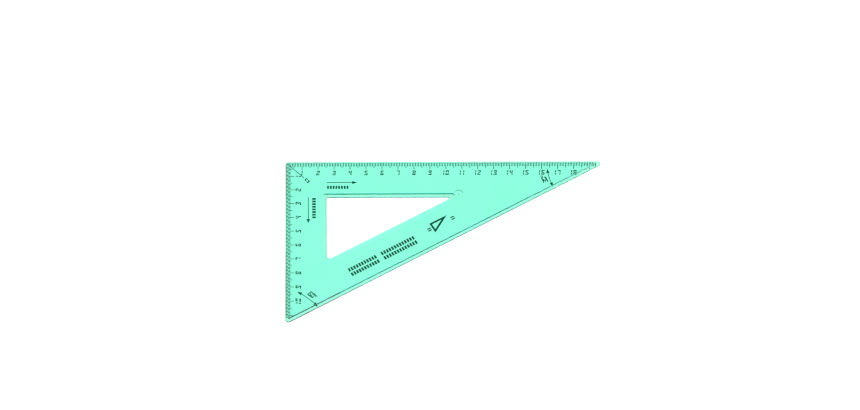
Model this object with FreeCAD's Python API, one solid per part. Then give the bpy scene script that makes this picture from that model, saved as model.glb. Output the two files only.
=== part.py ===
import FreeCAD, Part
import math
import os

from FreeCAD import Vector

# A 30/60/90 degree set square, injection moulded in one piece of tinted clear plastic, with its
# graduations, numerals and marks hot stamped into the underside.
#
# The plate is laid out from its right-angled corner: the long leg runs along +X, the short leg runs
# along -Y, and Z = 0 is the underside.  The stamped marks are laid out from the stamp's zero point,
# just inside that corner.  At the end every solid is shifted so that the origin is the middle of the
# underside's bounding box.  All lengths are in millimetres and all angles in degrees.

# ---- Driving dimensions of the plate ----
LONG_LEG = 201.2            # long leg of the sharp-cornered triangle
TIP_ANGLE = 30.0            # angle at the far end of the long leg
FOOT_ANGLE = 90.0 - TIP_ANGLE
LONG_BAR = 25.7             # width of the bar along each side, from the edge to the opening
SHORT_BAR = 25.3
SLANTED_BAR = 26.0
THICKNESS = 2.6
RIM_THICKNESS = 1.0         # thin rim around every edge, so that a pencil runs close to the paper
SCALE_RIM_WIDTH = 1.45      # width of the rim along both scales
PLAIN_RIM_WIDTH = 1.65      # along the slanted edge and around the opening
RIM_RADII = (1.3, 1.5, 1.8)             # corner roundings: right angle, 30 degree tip, foot
BODY_RADII = (0.7, 0.7, 0.7)            # of the thick body inside the rim
RIM_OPENING_RADII = (1.0, 0.9, 1.8)     # of the opening, in the same order
BODY_OPENING_RADII = (1.0, 2.0, 3.4)
TOP_FILLET = 0.25           # softened edge of the thick body's top face
RIM_FILLET = 0.15           # rounded upper edge of the rim

# Round witness mark of the moulding gate, a shallow dish in the top face
GATE_CENTRE = (107.6, -24.4)
GATE_RADIUS = 2.7
GATE_DEPTH = 0.4
GATE_SLOPE = 0.12
GATE_NUB_RADIUS = 0.8
GATE_NUB_DEPTH = 0.1

# ---- Driving dimensions of the stamped marks ----
STAMP_SHIFT = 0.16          # the stamp's zero point lies this far inside the short edge
STAMP_DROP = 0.42           # and this far inside the long edge
INK_DEPTH = 0.05            # the stamp presses its film this far into the underside
EDGE_MARGIN = 0.12          # marks start this far from the stamp's zero lines
MARK_WIDTH = 0.42
MILLIMETRE_MARK = 2.85      # reach of each mark from the zero line
HALF_CENTIMETRE_MARK = 4.0
CENTIMETRE_MARK = 5.1
CORNER_GAP = 0.46           # marks near the zero corner stop this short of the diagonal
LONG_SCALE_END = 194        # last millimetre mark of each scale
SHORT_SCALE_END = 111
LONG_SCALE_LAST_NUMERAL = 18
SHORT_SCALE_LAST_NUMERAL = 10

# Numerals: centre lines of the strokes
NUMERAL_HEIGHT = 2.7
NUMERAL_WIDTH = 1.35
NUMERAL_STROKE = 0.66
NUMERAL_SLANT = math.tan(math.radians(6.0))
NUMERAL_PITCH = 2.15        # from one digit to the next
NUMERAL_OFFSET = 7.65       # from the zero line to the middle of a scale's numerals
BREAK = 0.54                # half of the break at mid height of the upright strokes
BAR_INSET = 0.5             # the middle bar stops this short of the uprights' centre lines
DEGREE_RADIUS = 0.5
DEGREE_STROKE = 0.36
DEGREE_GAP = 0.75           # between the last digit's centre lines and the degree sign

LEADER_START = 0.75         # of the diagonal line at the zero point, from that point along X
LEADER_END = 11.2
LEADER_WIDTH = 0.46
ZERO_NUMERAL_AT = 13.2

ARROW_WIDTH = 0.42
ARROW_HEAD_LENGTH = 3.0
ARROW_HEAD_WIDTH = 2.2
RIGHT_ARROW_OFFSET = 14.7   # of each arrow, from the zero line that it runs along
LEFT_ARROW_OFFSET = 13.85
HAND_ARROW_START = 25.35    # along the zero line, from the zero point
HAND_ARROW_END = 44.3

# Angle marks: a double arrow across the corner, with the angle written beside it
FOOT_ARROW = ((7.1, -93.3), (19.6, -103.8))
FOOT_ARROW_BULGE = 0.5      # height of the arc above its chord, away from the corner
FOOT_LABEL = (15.8, -95.5)
FOOT_LABEL_HEADING = -37.0
TIP_ARROW = ((163.4, -5.2), (166.5, -18.1))
TIP_ARROW_BULGE = 0.4
TIP_LABEL = (161.6, -13.1)
TIP_LABEL_HEADING = 111.0
ARROW_CLEARANCE = 0.02      # between the arc's line and its heads

# Plain block rows that stand where the printed wording is: start, length and number of blocks
BLOCK_SHARE = 0.66          # part of each block's cell that is printed
CAPTION_HEIGHT = 2.2
RIGHT_CAPTION_START = (25.6, -18.2)
RIGHT_CAPTION_LENGTH = 13.3
LEFT_CAPTION_START = (17.4, -40.7)
LEFT_CAPTION_LENGTH = 14.7
CAPTION_BLOCKS = 8
LEGEND_HEIGHT = 2.5
LEGEND_FROM_TIP = 180.1     # distance of the legend's start from the 30 degree tip
LEGEND_OFFSETS = (13.1, 9.5)    # of the two lines, inside the slanted edge
LEGEND_COLUMNS = ((0.0, 19.7, 11), (23.4, 23.4, 13))    # start, length and number of blocks

# Maker's mark, a small set square pictogram between two pairs of rules
EMBLEM_FROM_TIP = 113.6     # distance of its middle from the 30 degree tip
EMBLEM_OFFSET = 13.1
EMBLEM_LEG = 12.6
EMBLEM_BAR = 1.2
EMBLEM_RULE_LENGTH = 2.6
EMBLEM_RULE_WIDTH = 0.8
EMBLEM_RULE_GAP = 0.8       # between the pictogram and the rules
EMBLEM_RULE_OFFSETS = (-0.75, 0.75)

UP = Vector(0, 0, 1)
RIGHTWARD = Vector(1, 0, 0)
DOWNWARD = Vector(0, -1, 0)

STAMP_ZERO = RIGHTWARD * STAMP_SHIFT + DOWNWARD * STAMP_DROP
TIP = RIGHTWARD * LONG_LEG - STAMP_ZERO     # sharp 30 degree corner, from the stamp's zero point


# ---- Plane geometry ----

def tan_deg(angle):
    return math.tan(math.radians(angle))


def direction(angle):
    """Unit vector in the plane of the plate, counter-clockwise from +X."""
    return Vector(math.cos(math.radians(angle)), math.sin(math.radians(angle)), 0)


def rounded_polygon(corners, radii):
    """Closed wire of straight runs, with an arc of its own radius at each corner."""
    starts = []
    ends = []
    middles = []
    count = len(corners)
    for index, corner in enumerate(corners):
        to_last = (corners[index - 1] - corner).normalize()
        to_next = (corners[(index + 1) % count] - corner).normalize()
        half_angle = to_last.getAngle(to_next) / 2
        tangent = radii[index] / math.tan(half_angle)
        inward = (to_last + to_next).normalize()
        starts.append(corner + to_last * tangent)
        ends.append(corner + to_next * tangent)
        middles.append(corner + inward * (radii[index] / math.sin(half_angle) - radii[index]))
    edges = []
    for index in range(count):
        edges.append(Part.Arc(starts[index], middles[index], ends[index]).toShape())
        edges.append(Part.LineSegment(ends[index], starts[(index + 1) % count]).toShape())
    return Part.Wire(edges)


def set_square_outline(long_inset, short_inset, slanted_inset, radii):
    """The 30/60/90 outline, each side moved inward, with a radius for its zero, tip and foot corner."""
    slant = tan_deg(TIP_ANGLE)
    drop = slanted_inset / math.cos(math.radians(TIP_ANGLE))
    corners = [
        Vector(short_inset, -long_inset, 0),
        Vector(LONG_LEG - (long_inset + drop) / slant, -long_inset, 0),
        Vector(short_inset, drop - (LONG_LEG - short_inset) * slant, 0),
    ]
    return rounded_polygon(corners, radii)


def ring_face(outer, inner):
    return Part.Face(outer).cut(Part.Face(inner)).Faces[0]


def beside_slanted_edge(from_tip, offset):
    """Point a distance from the 30 degree tip along the slanted edge, and inside it by offset."""
    along = direction(180.0 + TIP_ANGLE)
    inward = direction(90.0 + TIP_ANGLE)
    return TIP + along * from_tip + inward * offset


# ---- The plate ----

def filleted(solid, level, radius):
    """Round every edge of the solid that lies at one level."""
    edges = []
    for edge in solid.Edges:
        box = edge.BoundBox
        if abs(box.ZMin - level) < 1e-6 and abs(box.ZMax - level) < 1e-6:
            edges.append(edge)
    return solid.makeFillet(radius, edges)


def moulded_blank():
    """Thick body standing on the thin rim, with the triangular opening, before stamping."""
    step = PLAIN_RIM_WIDTH
    rim = ring_face(
        set_square_outline(0, 0, 0, RIM_RADII),
        set_square_outline(LONG_BAR, SHORT_BAR, SLANTED_BAR, RIM_OPENING_RADII),
    )
    body = ring_face(
        set_square_outline(SCALE_RIM_WIDTH, SCALE_RIM_WIDTH, step, BODY_RADII),
        set_square_outline(LONG_BAR - step, SHORT_BAR - step, SLANTED_BAR - step, BODY_OPENING_RADII),
    )
    rim = filleted(rim.extrude(UP * RIM_THICKNESS), RIM_THICKNESS, RIM_FILLET)
    body = filleted(body.extrude(UP * THICKNESS), THICKNESS, TOP_FILLET)
    return rim.fuse(body).removeSplitter()


def gate_mark():
    """Shallow dish with a low nub at its middle, as a solid to cut away from the top face."""
    floor = Vector(GATE_CENTRE[0], GATE_CENTRE[1], THICKNESS - GATE_DEPTH)
    dish = Part.makeCone(GATE_RADIUS - GATE_SLOPE, GATE_RADIUS, GATE_DEPTH, floor, UP)
    nub = Part.makeCylinder(GATE_NUB_RADIUS, GATE_DEPTH - GATE_NUB_DEPTH, floor, UP)
    return dish.cut(nub)


# ---- Stamped marks: plane faces, extruded to the depth of the stamp ----

def place(points, origin, angle):
    """Turn (across, up) pairs by angle and move them to origin."""
    across = direction(angle)
    up = direction(angle + 90.0)
    return [origin + across * u + up * v for u, v in points]


def filled(points):
    return Part.Face(Part.makePolygon(points + [points[0]]))


def bar(start, end, width):
    """Straight bar with square ends."""
    side = (end - start).normalize().cross(UP) * (width / 2)
    return filled([start + side, end + side, end - side, start - side])


def stroke(points, width):
    """Pen stroke of constant width along a polyline, with round ends and corners."""
    if len(points) > 2:
        return Part.makePolygon(points).makeOffset2D(width / 2, 0, True, False, False)
    start, end = points
    ahead = (end - start).normalize() * (width / 2)
    side = ahead.cross(UP)
    return Part.Face(Part.Wire([
        Part.LineSegment(start + side, end + side).toShape(),
        Part.Arc(end + side, end + ahead, end - side).toShape(),
        Part.LineSegment(end - side, start - side).toShape(),
        Part.Arc(start - side, start - ahead, start + side).toShape(),
    ]))


def annulus(centre, radius, width):
    outer = Part.Wire(Part.Circle(centre, UP, radius + width / 2).toShape())
    inner = Part.Wire(Part.Circle(centre, UP, radius - width / 2).toShape())
    return ring_face(outer, inner)


def stamped(faces):
    """Film solids that fill the stamp's impressions, flush with the underside."""
    return Part.makeCompound([face.extrude(UP * INK_DEPTH) for face in faces])


def scale_marks(reach, last, wanted, along, inward):
    """Graduation marks every millimetre that is wanted, clipped at the zero corner's diagonal."""
    faces = []
    for step in range(1, last + 1):
        length = min(reach, step - CORNER_GAP)
        if not wanted(step):
            continue
        foot = along * step
        faces.append(bar(foot + inward * EDGE_MARGIN, foot + inward * length, MARK_WIDTH))
    return stamped(faces)


def is_centimetre(step):
    return step % 10 == 0


def is_half_centimetre(step):
    return step % 10 == 5


def is_millimetre(step):
    return step % 5 != 0


def digit_strokes(digit):
    """Centre lines of one digit, built like a seven-segment figure that is broken at mid height."""
    w = NUMERAL_WIDTH
    h = NUMERAL_HEIGHT
    high = h / 2 + BREAK
    low = h / 2 - BREAK
    upper_left = [(0, high), (0, h)]
    upper_right = [(w, h), (w, high)]
    lower_left = [(0, low), (0, 0)]
    lower_right = [(w, 0), (w, low)]
    middle = [(BAR_INSET, h / 2), (w - BAR_INSET, h / 2)]
    shapes = {
        "0": [upper_left + upper_right, lower_left + lower_right],
        "1": [[(w / 2, h), (w / 2, high)], [(w / 2, low), (w / 2, 0)]],
        "2": [[(0, h)] + upper_right, middle, lower_left + [(w, 0)]],
        "3": [[(0, h)] + upper_right, middle, [(0, 0)] + lower_right],
        "4": [upper_left, upper_right, middle, lower_right],
        "5": [upper_left + [(w, h)], middle, [(0, 0)] + lower_right],
        "6": [upper_left + [(w, h)], middle, lower_left + lower_right],
        "7": [[(0, h)] + upper_right, lower_right],
        "8": [upper_left + upper_right, middle, lower_left + lower_right],
        "9": [upper_left + upper_right, middle, [(0, 0)] + lower_right],
    }
    return shapes[digit]


def number_strokes(text):
    """Centre lines of a number, leaning to the right, with the middle of what is printed at zero."""
    lines = []
    for index, digit in enumerate(text):
        for points in digit_strokes(digit):
            lines.append([(x + index * NUMERAL_PITCH, y - NUMERAL_HEIGHT / 2) for x, y in points])
    reaches = [x for points in lines for x, y in points]
    middle = (min(reaches) + max(reaches)) / 2
    return [[(x - middle + y * NUMERAL_SLANT, y) for x, y in points] for points in lines]


def number_faces(text, centre, angle):
    """Faces of a number that is centred on a point and turned by angle."""
    return [stroke(place(points, centre, angle), NUMERAL_STROKE) for points in number_strokes(text)]


def scale_numerals(last, along, inward, angle):
    faces = []
    for number in range(1, last + 1):
        centre = along * (10 * number) + inward * NUMERAL_OFFSET
        faces += number_faces(str(number), centre, angle)
    return stamped(faces)


def straight_arrow(start, end):
    """Line with a solid head at its end, as one face."""
    length = (end - start).Length
    neck = length - ARROW_HEAD_LENGTH
    half = ARROW_WIDTH / 2
    wing = ARROW_HEAD_WIDTH / 2
    outline = [(0, -half), (neck, -half), (neck, -wing), (length, 0), (neck, wing), (neck, half), (0, half)]
    heading = math.degrees(math.atan2(end.y - start.y, end.x - start.x))
    return filled(place(outline, start, heading))


def arc_band(start, middle, end, width):
    """Face of constant width along the arc through three points."""
    circle = Part.Arc(start, middle, end).toShape().Curve
    centre = circle.Center
    edges = []
    borders = []
    for reach in (circle.Radius - width / 2, circle.Radius + width / 2):
        points = [centre + (point - centre).normalize() * reach for point in (start, middle, end)]
        edges.append(Part.Arc(*points).toShape())
        borders.append(points)
    for index in (0, 2):
        edges.append(Part.LineSegment(borders[0][index], borders[1][index]).toShape())
    return Part.Face(Part.Wire(Part.__sortEdges__(edges)))


def arc_arrow(tips, bulge):
    """Flat arc with a solid head at each end, as three faces that don't touch."""
    first, last = [Vector(x, y, 0) for x, y in tips]
    chord = last - first
    crest = (first + last) / 2 + UP.cross(chord).normalize() * bulge
    circle = Part.Arc(first, crest, last).toShape().Curve
    inward_turn = math.copysign(1, bulge)
    faces = []
    necks = []
    for tip, turn in ((first, -inward_turn), (last, inward_turn)):
        radius_line = tip - circle.Center
        for reach in (ARROW_HEAD_LENGTH, ARROW_HEAD_LENGTH + ARROW_CLEARANCE):
            angle = turn * math.degrees(reach / circle.Radius)
            turned = FreeCAD.Rotation(UP, angle).multVec(radius_line)
            necks.append(circle.Center + turned)
        base = necks[-2]
        side = (tip - base).normalize().cross(UP) * (ARROW_HEAD_WIDTH / 2)
        faces.append(filled([base + side, tip, base - side]))
    faces.append(arc_band(necks[1], crest, necks[3], ARROW_WIDTH))
    return stamped(faces)


def angle_label(text, centre, heading):
    """Number of degrees centred on a point, with the degree sign behind it."""
    middle = Vector(centre[0], centre[1], 0)
    faces = number_faces(text, middle, heading)
    digits_width = (len(text) - 1) * NUMERAL_PITCH + NUMERAL_WIDTH
    right = digits_width / 2 + DEGREE_GAP + DEGREE_RADIUS
    top = NUMERAL_HEIGHT / 2 - DEGREE_RADIUS
    sign = place([(right, top)], middle, heading)[0]
    faces.append(annulus(sign, DEGREE_RADIUS, DEGREE_STROKE))
    return stamped(faces)


def block_row(start, angle, length, height, count):
    """Row of plain upright blocks, evenly spaced over a length and centred on the row's line."""
    pitch = length / (count - 1 + BLOCK_SHARE)
    width = pitch * BLOCK_SHARE
    low = -height / 2
    high = height / 2
    faces = []
    for index in range(count):
        left = index * pitch
        corners = [(left, low), (left + width, low), (left + width, high), (left, high)]
        faces.append(filled(place(corners, start, angle)))
    return faces


def caption(start, angle, length):
    x, y = start
    return stamped(block_row(Vector(x, y, 0), angle, length, CAPTION_HEIGHT, CAPTION_BLOCKS))


def legend():
    faces = []
    for offset in LEGEND_OFFSETS:
        for column_start, length, count in LEGEND_COLUMNS:
            start = beside_slanted_edge(LEGEND_FROM_TIP - column_start, offset)
            faces += block_row(start, TIP_ANGLE, length, LEGEND_HEIGHT, count)
    return stamped(faces)


def emblem():
    """Outline of a small set square, and a pair of rules on either side of it."""
    centre = beside_slanted_edge(EMBLEM_FROM_TIP, EMBLEM_OFFSET)
    half_leg = EMBLEM_LEG / 2
    half_height = half_leg * tan_deg(TIP_ANGLE)
    outer = [(-half_leg, half_height), (half_leg, half_height), (-half_leg, -half_height)]
    inner = [
        (-half_leg + EMBLEM_BAR, half_height - EMBLEM_BAR),
        (half_leg - EMBLEM_BAR / tan_deg(TIP_ANGLE / 2), half_height - EMBLEM_BAR),
        (-half_leg + EMBLEM_BAR, -half_height + EMBLEM_BAR / tan_deg(FOOT_ANGLE / 2)),
    ]
    outer_wire = Part.makePolygon(place(outer + outer[:1], centre, TIP_ANGLE))
    inner_wire = Part.makePolygon(place(inner + inner[:1], centre, TIP_ANGLE))
    faces = [ring_face(outer_wire, inner_wire)]
    for side in (-1, 1):
        near = side * (half_leg + EMBLEM_RULE_GAP)
        far = near + side * EMBLEM_RULE_LENGTH
        for level in EMBLEM_RULE_OFFSETS:
            start, end = place([(near, level), (far, level)], centre, TIP_ANGLE)
            faces.append(bar(start, end, EMBLEM_RULE_WIDTH))
    return stamped(faces)


def stamped_marks():
    """Every stamped group by name, laid out from the stamp's zero point."""
    scales = {
        "long_scale": (LONG_SCALE_END, RIGHTWARD, DOWNWARD, LONG_SCALE_LAST_NUMERAL, 0.0),
        "short_scale": (SHORT_SCALE_END, DOWNWARD, RIGHTWARD, SHORT_SCALE_LAST_NUMERAL, 90.0),
    }
    kinds = {
        "millimetre_marks": (MILLIMETRE_MARK, is_millimetre),
        "half_centimetre_marks": (HALF_CENTIMETRE_MARK, is_half_centimetre),
        "centimetre_marks": (CENTIMETRE_MARK, is_centimetre),
    }
    diagonal = RIGHTWARD + DOWNWARD
    leader = [diagonal * LEADER_START, diagonal * LEADER_END]
    across = RIGHTWARD * HAND_ARROW_START + DOWNWARD * RIGHT_ARROW_OFFSET
    down = DOWNWARD * HAND_ARROW_START + RIGHTWARD * LEFT_ARROW_OFFSET
    arrow_length = HAND_ARROW_END - HAND_ARROW_START
    marks = {}
    for scale, (last, along, inward, last_numeral, angle) in scales.items():
        for kind, (reach, wanted) in kinds.items():
            marks[scale + "_" + kind] = scale_marks(reach, last, wanted, along, inward)
        marks[scale + "_numerals"] = scale_numerals(last_numeral, along, inward, angle)
    marks["zero_leader_line"] = stamped([stroke(leader, LEADER_WIDTH)])
    marks["zero_numeral"] = stamped(number_faces("0", diagonal * ZERO_NUMERAL_AT, 45.0))
    marks["right_hand_arrow"] = stamped([straight_arrow(across, across + RIGHTWARD * arrow_length)])
    marks["left_hand_arrow"] = stamped([straight_arrow(down, down + DOWNWARD * arrow_length)])
    marks["right_hand_caption"] = caption(RIGHT_CAPTION_START, 0.0, RIGHT_CAPTION_LENGTH)
    marks["left_hand_caption"] = caption(LEFT_CAPTION_START, 90.0, LEFT_CAPTION_LENGTH)
    marks["sixty_degree_arrow"] = arc_arrow(FOOT_ARROW, FOOT_ARROW_BULGE)
    marks["sixty_degree_label"] = angle_label("60", FOOT_LABEL, FOOT_LABEL_HEADING)
    marks["thirty_degree_arrow"] = arc_arrow(TIP_ARROW, -TIP_ARROW_BULGE)
    marks["thirty_degree_label"] = angle_label("30", TIP_LABEL, TIP_LABEL_HEADING)
    marks["care_legend"] = legend()
    marks["maker_emblem"] = emblem()
    for shape in marks.values():
        shape.translate(STAMP_ZERO)
    return marks


def main():
    marks = stamped_marks()
    blank = moulded_blank().cut(gate_mark())
    plate = blank.cut(Part.makeCompound(list(marks.values())))
    box = plate.optimalBoundingBox(False, False)
    to_middle = Vector(-box.Center.x, -box.Center.y, 0)
    print("middle of the underside, from the right-angled corner:", -to_middle)
    os.makedirs("parts", exist_ok=True)
    for name, shape in {"plate": plate, **marks}.items():
        shape.translate(to_middle)
        shape.exportStep("parts/" + name + ".step")
        print(name, len(shape.Solids), "solids", round(shape.Volume, 3), "mm3", shape.isValid())


main()
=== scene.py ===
import math

import bpy
from mathutils import Matrix, Vector


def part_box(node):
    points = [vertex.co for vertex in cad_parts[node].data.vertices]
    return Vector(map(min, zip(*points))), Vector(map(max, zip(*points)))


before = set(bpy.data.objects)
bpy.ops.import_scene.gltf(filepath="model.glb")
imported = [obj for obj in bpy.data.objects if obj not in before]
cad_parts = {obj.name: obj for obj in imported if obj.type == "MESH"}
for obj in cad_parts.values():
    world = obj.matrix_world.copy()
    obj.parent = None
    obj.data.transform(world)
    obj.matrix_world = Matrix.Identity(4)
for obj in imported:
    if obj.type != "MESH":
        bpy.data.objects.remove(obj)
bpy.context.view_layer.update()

# ---- Layout, in metres ----
# The zero corner is the corner of the plate where both scales start.
plate_low, plate_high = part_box("plate")
ZERO_CORNER = Vector((plate_low.x, plate_high.y, 0.0))
LOOK_AT = ZERO_CORNER + Vector((0.0897, -0.03117, 0.0))

# ---- Camera ----
CAMERA_DISTANCE = 2.161
CAMERA_ELEVATION = math.radians(58.27)
CAMERA_AZIMUTH = math.radians(-3.5)
CAMERA_ROLL = math.radians(2.78)
LENS_MM = 145.4
SENSOR_MM = 36.0

# ---- Floor, in metres ----
FLOOR_DROP = 0.00002              # gap between the floor and the plate's underside
FLOOR_SIZE = 6.0

# ---- Light ----
# The flag is a dim round patch of the sky, where the camera sees it mirrored in the plate.
OVERHEAD_LIGHT = (1.8, 1.8, 1.8, 1.0)
HORIZON_LIGHT = (0.68, 0.76, 0.88, 1.0)
HORIZON_TOP = math.radians(35.0)  # elevation from which the light is fully overhead light
FLAG_SHARE = 0.02                 # share of the light that the flag lets through
FLAG_ELEVATION = CAMERA_ELEVATION
FLAG_INNER = math.radians(14.0)   # radius within which the flag is fully dark
FLAG_OUTER = math.radians(34.0)   # radius at which its soft edge ends
FLAG_DIRECTION = (
    -math.sin(CAMERA_AZIMUTH) * math.cos(FLAG_ELEVATION),
    math.cos(CAMERA_AZIMUTH) * math.cos(FLAG_ELEVATION),
    math.sin(FLAG_ELEVATION),
)

# ---- Finishes: noise scales are per metre, turns in radians, depths in metres ----
NOISE_LOW = 0.3                   # nearly all of a noise texture lies between these two
NOISE_HIGH = 0.7

PLASTIC_IOR = 1.49
PLASTIC_VOLUME_COLOUR = (0.26, 0.9, 0.93, 1.0)
PLASTIC_DENSITY = 150.0
PLASTIC_SURFACE_PALE = (0.708, 1.0, 0.848, 1.0)
PLASTIC_SURFACE_DEEP = (0.672, 1.0, 0.828, 1.0)
PLASTIC_ROUGHNESS = (0.015, 0.03)
GLOSS_SCALE = 60.0
FLOW_SCALE = 22.0
FLOW_STRETCH = (1.0, 1.6, 1.0)
FLOW_TURN = 0.5
FLOW_DEPTH = 0.000002
SCUFF_SCALE = 900.0
SCUFF_STRETCH = (0.035, 1.0, 1.0)
SCUFF_LOW = 0.66                  # noise below this is clear, and above SCUFF_HIGH a full scratch
SCUFF_HIGH = 0.72
SCUFF_TURN_A = 0.35
SCUFF_TURN_B = -0.9
SCUFF_ROUGHNESS = 0.05
SCUFF_DEPTH = 0.0000003

FILM_DEEP = (0.0008, 0.055, 0.036, 1.0)
FILM_THIN = (0.002, 0.085, 0.06, 1.0)
FILM_ROUGHNESS = (0.42, 0.62)
COVER_SCALE = 1400.0
GRAIN_SCALE = 5000.0
GRAIN_DEPTH = 0.00001
FULLY_VERTICAL = 0.5              # a normal counts as pointing up or down beyond this Z

PAPER_SHADE = (0.89, 0.89, 0.885, 1.0)
PAPER_WHITE = (0.91, 0.91, 0.91, 1.0)
PAPER_ROUGHNESS = (0.85, 0.95)
CLOUD_SCALE = 3.0
TOOTH_SCALE = 2500.0
TOOTH_DEPTH = 0.00003

# ---- Sampling ----
FILTER_WIDTH = 1.2                # of the pixel filter, in pixels
CLEAR_BOUNCES = 40                # light is mirrored many times between the plate's faces
DIFFUSE_BOUNCES = 6


def new_material(name):
    """New material, its node tree and its Principled shader."""
    material = bpy.data.materials.new(name)
    material.use_nodes = True
    tree = material.node_tree
    return material, tree, tree.nodes["Principled BSDF"]


def node(tree, kind, **values):
    """New shader node with its plain properties and input values set."""
    made = tree.nodes.new(kind)
    for key, value in values.items():
        if key in made.inputs:
            made.inputs[key].default_value = value
        else:
            setattr(made, key, value)
    return made


def mapped_noise(tree, coordinates, scale, detail, stretch=(1.0, 1.0, 1.0), turn=0.0):
    """Noise texture over the object's own coordinates, optionally stretched and turned about Z."""
    mapping = node(tree, "ShaderNodeMapping")
    mapping.inputs["Scale"].default_value = stretch
    mapping.inputs["Rotation"].default_value = (0.0, 0.0, turn)
    tree.links.new(coordinates.outputs["Object"], mapping.inputs["Vector"])
    noise = node(tree, "ShaderNodeTexNoise", Scale=scale, Detail=detail)
    tree.links.new(mapping.outputs["Vector"], noise.inputs["Vector"])
    return noise.outputs["Fac"]


def remapped(tree, value, low, high, to_low, to_high):
    """Value carried from the range low..high to the range to_low..to_high, and held inside it."""
    made = node(tree, "ShaderNodeMapRange", clamp=True)
    ends = {"From Min": low, "From Max": high, "To Min": to_low, "To Max": to_high}
    for name, number in ends.items():
        made.inputs[name].default_value = number
    tree.links.new(value, made.inputs["Value"])
    return made.outputs["Result"]


def spread(tree, noise, to_low, to_high):
    """Noise carried from its usual range to the range to_low..to_high."""
    return remapped(tree, noise, NOISE_LOW, NOISE_HIGH, to_low, to_high)


def combined(tree, operation, first, second):
    """Result of a math operation on two values."""
    made = node(tree, "ShaderNodeMath", operation=operation)
    tree.links.new(first, made.inputs[0])
    tree.links.new(second, made.inputs[1])
    return made.outputs["Value"]


def blended(tree, factor, colour_a, colour_b):
    """Colour that runs from colour_a to colour_b with the factor."""
    made = node(tree, "ShaderNodeMix", data_type="RGBA")
    made.inputs["A"].default_value = colour_a
    made.inputs["B"].default_value = colour_b
    tree.links.new(factor, made.inputs["Factor"])
    return made.outputs["Result"]


def bumped(tree, height, distance, under=None):
    """Normal of a surface with this relief, laid over the normal `under` where there is one."""
    made = node(tree, "ShaderNodeBump", Strength=1.0, Distance=distance)
    tree.links.new(height, made.inputs["Height"])
    if under is not None:
        tree.links.new(under, made.inputs["Normal"])
    return made.outputs["Normal"]


def hairline_scuffs(tree, coordinates, turn):
    """Sparse long fine scratches in one direction, 1 where there is one and 0 elsewhere."""
    lines = mapped_noise(tree, coordinates, SCUFF_SCALE, 2.0, SCUFF_STRETCH, turn)
    return remapped(tree, lines, SCUFF_LOW, SCUFF_HIGH, 0.0, 1.0)


def tinted_plastic():
    """Polished clear green moulding: slow waviness, uneven gloss and a few hairline scuffs."""
    material, tree, shader = new_material("tinted_clear_plastic")
    links = tree.links
    shader.inputs["Transmission Weight"].default_value = 1.0
    shader.inputs["IOR"].default_value = PLASTIC_IOR
    tint = node(tree, "ShaderNodeVolumeAbsorption")
    tint.inputs["Color"].default_value = PLASTIC_VOLUME_COLOUR
    tint.inputs["Density"].default_value = PLASTIC_DENSITY
    links.new(tint.outputs["Volume"], tree.nodes["Material Output"].inputs["Volume"])

    coordinates = node(tree, "ShaderNodeTexCoord")
    flow = mapped_noise(tree, coordinates, FLOW_SCALE, 3.0, FLOW_STRETCH, FLOW_TURN)
    streaks = spread(tree, flow, 0.0, 1.0)
    surface = blended(tree, streaks, PLASTIC_SURFACE_PALE, PLASTIC_SURFACE_DEEP)
    links.new(surface, shader.inputs["Base Color"])

    scuffs_a = hairline_scuffs(tree, coordinates, SCUFF_TURN_A)
    scuffs_b = hairline_scuffs(tree, coordinates, SCUFF_TURN_B)
    scuffs = combined(tree, "ADD", scuffs_a, scuffs_b)
    gloss = spread(tree, mapped_noise(tree, coordinates, GLOSS_SCALE, 4.0), *PLASTIC_ROUGHNESS)
    dulled = remapped(tree, scuffs, 0.0, 1.0, 0.0, SCUFF_ROUGHNESS)
    links.new(combined(tree, "ADD", gloss, dulled), shader.inputs["Roughness"])

    waviness = bumped(tree, flow, FLOW_DEPTH)
    sunken = remapped(tree, scuffs, 0.0, 1.0, 0.0, -1.0)
    scratched = bumped(tree, sunken, SCUFF_DEPTH, waviness)
    links.new(scratched, shader.inputs["Normal"])
    return material


def open_from_inside(tree):
    """Opacity that is 0 only where light on its way up leaves the film through its upper face.

    The film and the plastic share that face, so some of the light starts just inside the film.
    """
    geometry = node(tree, "ShaderNodeNewGeometry")
    facing = node(tree, "ShaderNodeSeparateXYZ")
    tree.links.new(geometry.outputs["Normal"], facing.inputs["Vector"])
    downward = remapped(tree, facing.outputs["Z"], -FULLY_VERTICAL, FULLY_VERTICAL, 1.0, 0.0)
    leaving = combined(tree, "MULTIPLY", geometry.outputs["Backfacing"], downward)
    return remapped(tree, leaving, 0.0, 1.0, 1.0, 0.0)


def stamping_film():
    """Dark green hot-stamped film: slightly uneven density and a fine grain."""
    material, tree, shader = new_material("stamping_film")
    links = tree.links
    coordinates = node(tree, "ShaderNodeTexCoord")
    thinness = spread(tree, mapped_noise(tree, coordinates, COVER_SCALE, 3.0), 0.0, 1.0)
    links.new(blended(tree, thinness, FILM_DEEP, FILM_THIN), shader.inputs["Base Color"])
    grain = mapped_noise(tree, coordinates, GRAIN_SCALE, 2.0)
    links.new(spread(tree, grain, *FILM_ROUGHNESS), shader.inputs["Roughness"])
    links.new(bumped(tree, grain, GRAIN_DEPTH), shader.inputs["Normal"])
    links.new(open_from_inside(tree), shader.inputs["Alpha"])
    return material


def floor_finish():
    """White seamless paper with a faint tooth."""
    material, tree, shader = new_material("paper_white_floor")
    links = tree.links
    coordinates = node(tree, "ShaderNodeTexCoord")
    clouds = spread(tree, mapped_noise(tree, coordinates, CLOUD_SCALE, 3.0), 0.0, 1.0)
    links.new(blended(tree, clouds, PAPER_SHADE, PAPER_WHITE), shader.inputs["Base Color"])
    tooth = mapped_noise(tree, coordinates, TOOTH_SCALE, 3.0)
    links.new(spread(tree, tooth, *PAPER_ROUGHNESS), shader.inputs["Roughness"])
    links.new(bumped(tree, tooth, TOOTH_DEPTH), shader.inputs["Normal"])
    return material


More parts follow.
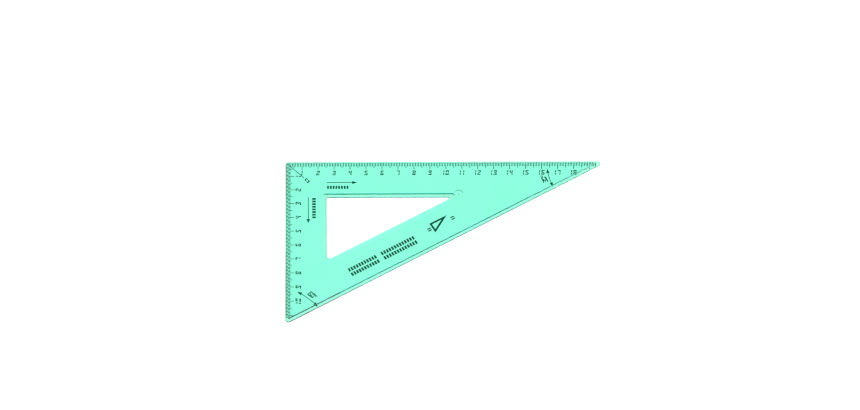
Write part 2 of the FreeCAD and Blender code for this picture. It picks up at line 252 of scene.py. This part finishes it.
def add_camera():
    """Camera aimed at LOOK_AT and rolled about its line of sight."""
    toward = Vector((
        math.sin(CAMERA_AZIMUTH) * math.cos(CAMERA_ELEVATION),
        -math.cos(CAMERA_AZIMUTH) * math.cos(CAMERA_ELEVATION),
        math.sin(CAMERA_ELEVATION),
    ))
    right = Vector((0, 0, 1)).cross(toward).normalized()
    up = toward.cross(right)
    turn = Matrix.Rotation(CAMERA_ROLL, 3, toward)
    right = turn @ right
    up = turn @ up
    data = bpy.data.cameras.new("camera")
    data.lens = LENS_MM
    data.sensor_width = SENSOR_MM
    camera = bpy.data.objects.new("camera", data)
    rotation = Matrix((right, up, toward)).transposed().to_4x4()
    camera.matrix_world = Matrix.Translation(LOOK_AT + toward * CAMERA_DISTANCE) @ rotation
    bpy.context.scene.collection.objects.link(camera)
    bpy.context.scene.camera = camera


def add_floor():
    """Flat square floor just under the plate."""
    mesh = bpy.data.meshes.new("floor")
    half = FLOOR_SIZE / 2
    corners = [(-half, -half), (half, -half), (half, half), (-half, half)]
    mesh.from_pydata([(x, y, -FLOOR_DROP) for x, y in corners], [], [(0, 1, 2, 3)])
    mesh.materials.append(floor_finish())
    floor = bpy.data.objects.new("floor", mesh)
    bpy.context.scene.collection.objects.link(floor)


def add_light():
    """Soft white light, dimmer and slightly blue near the horizon, with one dark flag."""
    world = bpy.data.worlds.new("studio")
    bpy.context.scene.world = world
    world.use_nodes = True
    tree = world.node_tree
    background = tree.nodes["Background"]
    coordinates = node(tree, "ShaderNodeTexCoord")
    closeness = node(tree, "ShaderNodeVectorMath", operation="DOT_PRODUCT")
    closeness.inputs[1].default_value = FLAG_DIRECTION
    tree.links.new(coordinates.outputs["Generated"], closeness.inputs[0])
    unflagged = remapped(
        tree, closeness.outputs["Value"], math.cos(FLAG_OUTER), math.cos(FLAG_INNER), 1.0, FLAG_SHARE
    )
    height = node(tree, "ShaderNodeSeparateXYZ")
    tree.links.new(coordinates.outputs["Generated"], height.inputs["Vector"])
    overhead = remapped(tree, height.outputs["Z"], 0.0, math.sin(HORIZON_TOP), 0.0, 1.0)
    light = blended(tree, overhead, HORIZON_LIGHT, OVERHEAD_LIGHT)
    tree.links.new(light, background.inputs["Color"])
    tree.links.new(unflagged, background.inputs["Strength"])


add_camera()
add_floor()
add_light()
plastic = tinted_plastic()
film = stamping_film()
for name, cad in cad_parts.items():
    cad.data.materials.clear()
    cad.data.materials.append(plastic if name == "plate" else film)

bpy.context.scene.view_settings.view_transform = "Standard"
cycles = bpy.context.scene.cycles
cycles.filter_width = FILTER_WIDTH
cycles.blur_glossy = 0.0
cycles.max_bounces = CLEAR_BOUNCES
cycles.glossy_bounces = CLEAR_BOUNCES
cycles.transmission_bounces = CLEAR_BOUNCES
cycles.diffuse_bounces = DIFFUSE_BOUNCES
